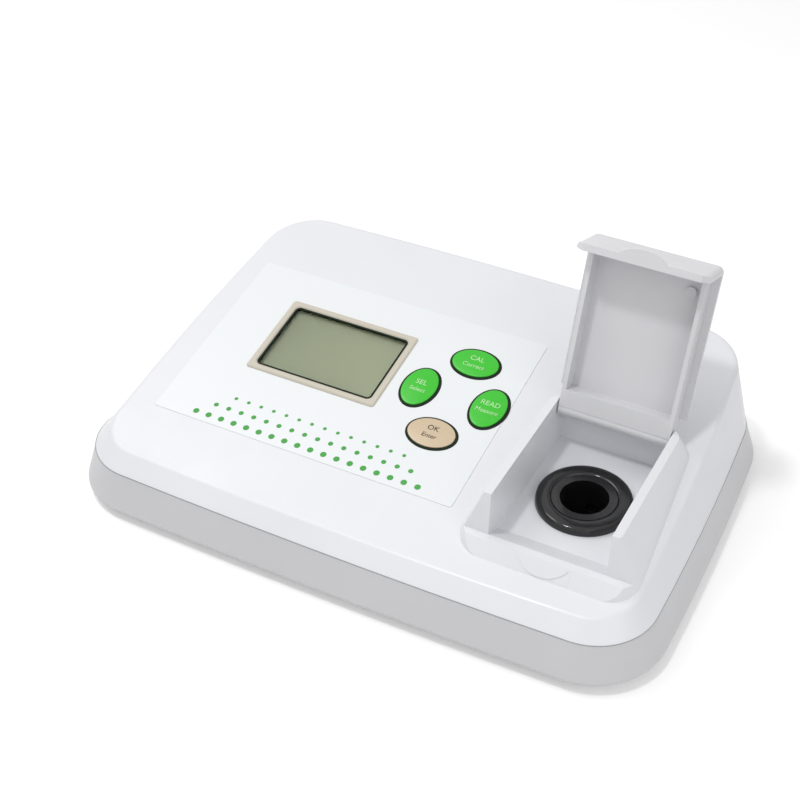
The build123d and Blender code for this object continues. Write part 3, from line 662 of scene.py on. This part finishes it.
# %% The seam between the two shells
SEAM_HEIGHT = 28.0
SEAM_WIDTH = 0.4
RIM_X = 135.0  # the outer wall lies beyond these two, the inner fittings within them
RIM_Y = 85.0
LEVEL_FACE = 0.9
SAME_HEIGHT = 0.01


def wire_mesh(name, points, closed):
    """Points in millimetres, joined in order by edges only."""
    wire = bpy.data.meshes.new(name)
    last = len(points) if closed else len(points) - 1
    edges = [(k, (k + 1) % len(points)) for k in range(last)]
    wire.from_pydata([[c * MM for c in point] for point in points], edges, [])
    return wire


def outer_rim(node, height):
    """The outer edge of a part at one height, as a mesh of points and edges only."""
    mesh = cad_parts[node].data
    corners = set()
    for face in mesh.polygons:
        faces_out = face.normal.x * face.center.x + face.normal.y * face.center.y > 0
        if not faces_out or abs(face.normal.z) > LEVEL_FACE:
            continue
        for index in face.vertices:
            x, y, z = mesh.vertices[index].co / MM
            if abs(z - height) < SAME_HEIGHT and (abs(x) > RIM_X or abs(y) > RIM_Y):
                corners.add((round(x, 2), round(y, 2)))
    ring = sorted(corners, key=lambda corner: math.atan2(corner[1], corner[0]))
    print(node, "rim has", len(ring), "corners")
    return wire_mesh(node + "_rim", [(x, y, height) for x, y in ring], closed=True)


def thin_line_tree(name, material):
    """A small square swept along any wire."""
    tree = new_tree(name, [("Width", "NodeSocketFloat", 0.0005)])
    given = tree.nodes["Group Input"]
    route = tree.nodes.new("GeometryNodeMeshToCurve")
    profile = tree.nodes.new("GeometryNodeCurvePrimitiveQuadrilateral")
    sweep = tree.nodes.new("GeometryNodeCurveToMesh")
    sweep.inputs["Fill Caps"].default_value = True
    connect(tree, given, "Geometry", route, "Mesh")
    connect(tree, given, "Width", profile, "Width")
    connect(tree, given, "Width", profile, "Height")
    connect(tree, route, "Curve", sweep, "Curve")
    connect(tree, profile, "Curve", sweep, "Profile Curve")
    end_tree(tree, sweep.outputs[0], material)
    return tree


seam_shade = printing_ink("seam_shade", (0.36, 0.36, 0.37))
seam_tree = thin_line_tree("seam", seam_shade)
seam_wire = outer_rim("lower_shell", SEAM_HEIGHT)
seam = bake(seam_tree, {"Width": SEAM_WIDTH * MM}, "shell_seam", seam_wire)
add_piece("shell_seam", seam, "case", seam_shade, smooth=False)

# %% [markdown]
# ## Painted shadow in the display
# A near-black band round the plate is painted shadow, the shade that the display's frame casts
# over the plate's edge, and it outlines the display. Its wire is a rectangle with rounded corners,
# drawn flat and laid on the deck.

# %% The painted shadow line
WINDOW = (73.0, 47.6)
WINDOW_CORNER = 3.0
WINDOW_MIDDLE = (-63.7, 4.5)
SHADOW_LINE_WIDTH = 1.1
SHADOW_LINE_HEIGHT = 0.1


def rounded_rectangle(width, depth, corner, steps=8):
    """Corner points of a rounded rectangle about the origin, in order."""
    points = []
    for quarter, (side, end) in enumerate(((1, 1), (-1, 1), (-1, -1), (1, -1))):
        for k in range(steps + 1):
            turn = math.pi / 2 * (quarter + k / steps)
            x = side * (width / 2 - corner) + corner * math.cos(turn)
            y = end * (depth / 2 - corner) + corner * math.sin(turn)
            points.append((x, y, 0))
    return points


width, depth = [side - SHADOW_LINE_WIDTH for side in WINDOW]
outline = rounded_rectangle(width, depth, WINDOW_CORNER - SHADOW_LINE_WIDTH / 2)
shadow_line_tree = thin_line_tree("painted_shadow_line", dark_print_and_shade)
shadow_line_wire = wire_mesh("shadow_line_wire", outline, closed=True)
painted_shadow_line = bake(shadow_line_tree, {"Width": SHADOW_LINE_WIDTH * MM}, "display_painted_shadow", shadow_line_wire)
lay_on_deck(painted_shadow_line, *WINDOW_MIDDLE, SHADOW_LINE_HEIGHT)
add_piece("display_painted_shadow", painted_shadow_line, "case", dark_print_and_shade, smooth=False)

# %% [markdown]
# ## Half-moon under the lid's tab
# A fine raised half-moon on the apron shows where a finger lifts the lid. A thin plate lies on the
# slope and a rim follows the arc, both drawn in the apron's own plane: X along the lip, Y up the
# slope and Z out of it. The rim starts a little below the lip, where the shut lid comes down.

# %% Plate and rim of the half-moon
LIP_EDGE = Vector((103.4, -82.0, 45.0))
APRON_FOOT = Vector((103.4, -88.5, 38.1))
MOON_WIDTH = 27.0
MOON_REACH = 7.0
MOON_PLATE = (31.0, 8.6, 0.4)  # width, reach and thickness
MOON_PLATE_SINK = 0.08
MOON_PLATE_BEVEL = 0.1
MOON_RIM = 0.8
MOON_RIM_HEIGHT = 0.2
MOON_DROP = 1.2

slope_up = (LIP_EDGE - APRON_FOOT).normalized()
along_lip = Vector((1, 0, 0))
APRON = Matrix((along_lip, slope_up, along_lip.cross(slope_up))).transposed().to_4x4()
APRON.translation = LIP_EDGE * MM


def moon_plate():
    """A thin slab that lies on the apron, from the lip down."""
    made = bmesh.new()
    bmesh.ops.create_cube(made, size=1.0)
    middle = (0, -MOON_PLATE[1] / 2 * MM, -MOON_PLATE_SINK * MM)
    bmesh.ops.scale(made, vec=[side * MM for side in MOON_PLATE], verts=made.verts)
    bmesh.ops.translate(made, vec=middle, verts=made.verts)
    bevel = MOON_PLATE_BEVEL * MM
    bmesh.ops.bevel(made, geom=made.edges[:], offset=bevel, segments=2, affect="EDGES")
    return to_mesh(made, "moon_plate")


def moon_arc(steps=32):
    """Points of the arc, from one end of the chord down and back to the other."""
    radius = ((MOON_WIDTH / 2) ** 2 + MOON_REACH**2) / (2 * MOON_REACH)
    half_angle = math.asin(MOON_WIDTH / 2 / radius)
    turns = [half_angle * (2 * k / steps - 1) for k in range(steps + 1)]
    centre = radius - MOON_REACH - MOON_DROP
    return [(radius * math.sin(t), centre - radius * math.cos(t), MOON_RIM_HEIGHT) for t in turns]


rim_tree = thin_line_tree("moon_rim", case_white)
moon_wire = wire_mesh("moon_wire", moon_arc(), closed=False)
moon_rim = bake(rim_tree, {"Width": MOON_RIM * MM}, "moon_rim", moon_wire)
moon = join_meshes("finger_moon", [moon_plate(), moon_rim])
moon.transform(APRON)
add_piece("finger_moon", moon, "case", case_white, smooth=False)

# %% [markdown]
# ## Marks on the switch
# A rocker switch has a stroke for on and a ring for off. Each lies on one half of the rocker's
# shallow V, so each gets its own small matrix: its X runs to the reader's right as seen from
# behind, its Y climbs that half, and its Z stands out of it. They tip with the rocker.

# %% A stroke and a ring on the rocker
ROCKER_PIVOT = Vector((51.0, 98.5, 43.0)) * MM
ROCKER_REST = Matrix.Rotation(math.radians(-6), 4, "X")
ROCKER_TILT = math.atan2(1.6, 7.6)  # each half falls by 1.6 mm over 7.6 mm
MARK_SIZE = 4.2
MARK_OUT = 2.4  # from the pivot to the middle of each half, outwards and upwards
MARK_UP = 3.8
MARK_LIFT = 0.05
mark_white = printing_ink("mark_white", (0.75, 0.75, 0.75))


def rocker_mark(text, half):
    """A mark on the upper (half = 1) or lower (half = -1) face of the rocker."""
    away = Vector((0, math.cos(ROCKER_TILT), -half * math.sin(ROCKER_TILT)))
    across = Vector((-1, 0, 0))
    face = Matrix((across, away.cross(across), away)).transposed().to_4x4()
    face.translation = Vector((0, MARK_OUT, half * MARK_UP)) * MM + away * MARK_LIFT * MM
    mesh = lettering(text, MARK_SIZE)
    mesh.transform(Matrix.Translation(ROCKER_PIVOT) @ ROCKER_REST @ face)
    return mesh


marks = join_meshes("rocker_marks", [rocker_mark("I", 1), rocker_mark("O", -1)])
add_piece("rocker_marks", marks, "power_switch", mark_white, smooth=False)

# %% [markdown]
# ## Camera
# The camera was fitted to the picture by the row of dots, the corners of the label and the keys.
# It stands to the right of the meter and looks down at the keypad. Its axis isn't in the middle
# of the picture, so a small shift moves the frame.

# %% The camera
camera_data = bpy.data.cameras.new("camera")
camera = bpy.data.objects.new("camera", camera_data)
bpy.context.scene.collection.objects.link(camera)
bpy.context.scene.camera = camera
right = Vector((0.896, 0.444, 0.011)).normalized()
forward = Vector((-0.329, 0.679, -0.656)).normalized()
forward = (forward - right * forward.dot(right)).normalized()
up = right.cross(forward)
turn = Matrix((right, up, -forward)).transposed().to_4x4()
camera.matrix_world = Matrix.Translation((0.2785, -0.5440, 0.5429)) @ turn
camera_data.lens = 64.65
camera_data.sensor_width = 36.0
camera_data.shift_x = -0.06875
camera_data.shift_y = 0.0625
camera_data.clip_start = 0.01
print("camera looks along", [round(v, 3) for v in forward])

# %% [markdown]
# ## Light and floor
# Pale things on a pale ground need soft light from one side, so that one flank of each form is a
# shade darker than the other. A large soft lamp stands at the upper left, a weaker one fills in
# from the right, and the world gives an even base. A third lamp is small and hangs overhead: it
# reaches down into the chamber and draws bright points on the glossy collar.

# %% Lamps and world
WORLD_LIGHT = 0.54
WORLD_SEEN = 1.0
TABLE_AIM = (0, 0, 0.04)
COLLAR_AIM = (0.103, -0.03, 0.04)


def soft_lamp(name, spot, aim, size, power):
    """A square lamp of this size that looks from its spot to its aim."""
    data = bpy.data.lights.new(name, "AREA")
    data.size = size
    data.energy = power
    lamp = bpy.data.objects.new(name, data)
    bpy.context.scene.collection.objects.link(lamp)
    lamp.location = spot
    lamp.rotation_mode = "QUATERNION"
    lamp.rotation_quaternion = (Vector(aim) - Vector(spot)).to_track_quat("-Z", "Y")
    print("lamp:", name)


def seen_as_background(tree):
    """One for what is seen, also in a reflection or through glass; nought for soft light."""
    path = tree.nodes.new("ShaderNodeLightPath")
    seen = path.outputs["Is Camera Ray"]
    for ray in ("Is Glossy Ray", "Is Transmission Ray"):
        larger = tree.nodes.new("ShaderNodeMath")
        larger.operation = "MAXIMUM"
        tree.links.new(seen, larger.inputs[0])
        tree.links.new(path.outputs[ray], larger.inputs[1])
        seen = larger.outputs["Value"]
    return seen


soft_lamp("lamp_upper_left", (-0.9, 0.1, 1.3), TABLE_AIM, 0.8, 6.5)
soft_lamp("lamp_right", (1.1, -0.7, 0.9), TABLE_AIM, 1.0, 4)
soft_lamp("lamp_small", (-0.13, -0.27, 1.0), COLLAR_AIM, 0.10, 2.6)
world = bpy.data.worlds.new("studio")
bpy.context.scene.world = world
world.use_nodes = True
sky_tree = world.node_tree
sky = sky_tree.nodes["Background"]
sky.inputs["Color"].default_value = (1, 1, 1, 1)
strength = map_range(sky_tree, seen_as_background(sky_tree), WORLD_LIGHT, WORLD_SEEN)
connect(sky_tree, strength, "Result", sky, "Strength")

# %% [markdown]
# The floor is nearly white for the camera. The lamps fade with distance, so a faint glow makes up
# for them: it is weak near the meter, where the shadow has to show, and stronger far away.

# %% The floor
FLOOR_HALF = 6.0
FLOOR_TONE = 0.9
FLOOR_GLOW = (0.22, 0.6)  # near the meter and far from it
FLOOR_GLOW_SPAN = (0.8, 2.5)  # in metres from the meter

corner_signs = ((-1, -1), (1, -1), (1, 1), (-1, 1))
floor_corners = [(FLOOR_HALF * x, FLOOR_HALF * y, 0) for x, y in corner_signs]
floor_mesh = bpy.data.meshes.new("floor")
floor_mesh.from_pydata(floor_corners, [], [(0, 1, 2, 3)])
floor = bpy.data.objects.new("floor", floor_mesh)
bpy.context.scene.collection.objects.link(floor)
floor_paint, paint, floor_shader = new_material("floor_paint")
floor_shader.inputs["Base Color"].default_value = (FLOOR_TONE, FLOOR_TONE, FLOOR_TONE, 1)
floor_shader.inputs["Roughness"].default_value = 0.9
glow = paint.nodes.new("ShaderNodeEmission")
glow.inputs["Color"].default_value = (1, 1, 1, 1)
floor_place = paint.nodes.new("ShaderNodeTexCoord")
distance = paint.nodes.new("ShaderNodeVectorMath")
distance.operation = "LENGTH"
connect(paint, floor_place, "Object", distance, 0)
rise = map_range(paint, distance.outputs["Value"], *FLOOR_GLOW, *FLOOR_GLOW_SPAN)
lift = paint.nodes.new("ShaderNodeMath")
lift.operation = "MULTIPLY"
both = paint.nodes.new("ShaderNodeAddShader")
paint.links.new(seen_as_background(paint), lift.inputs[0])
connect(paint, rise, "Result", lift, 1)
connect(paint, lift, "Value", glow, "Strength")
connect(paint, floor_shader, "BSDF", both, 0)
connect(paint, glow, "Emission", both, 1)
connect(paint, both, "Shader", paint.nodes["Material Output"], "Surface")
floor_mesh.materials.append(floor_paint)

# %% [markdown]
# Colours should come out as they were mixed, so the view transform is the plain one.

# %% Finish
bpy.context.scene.view_settings.view_transform = "Standard"
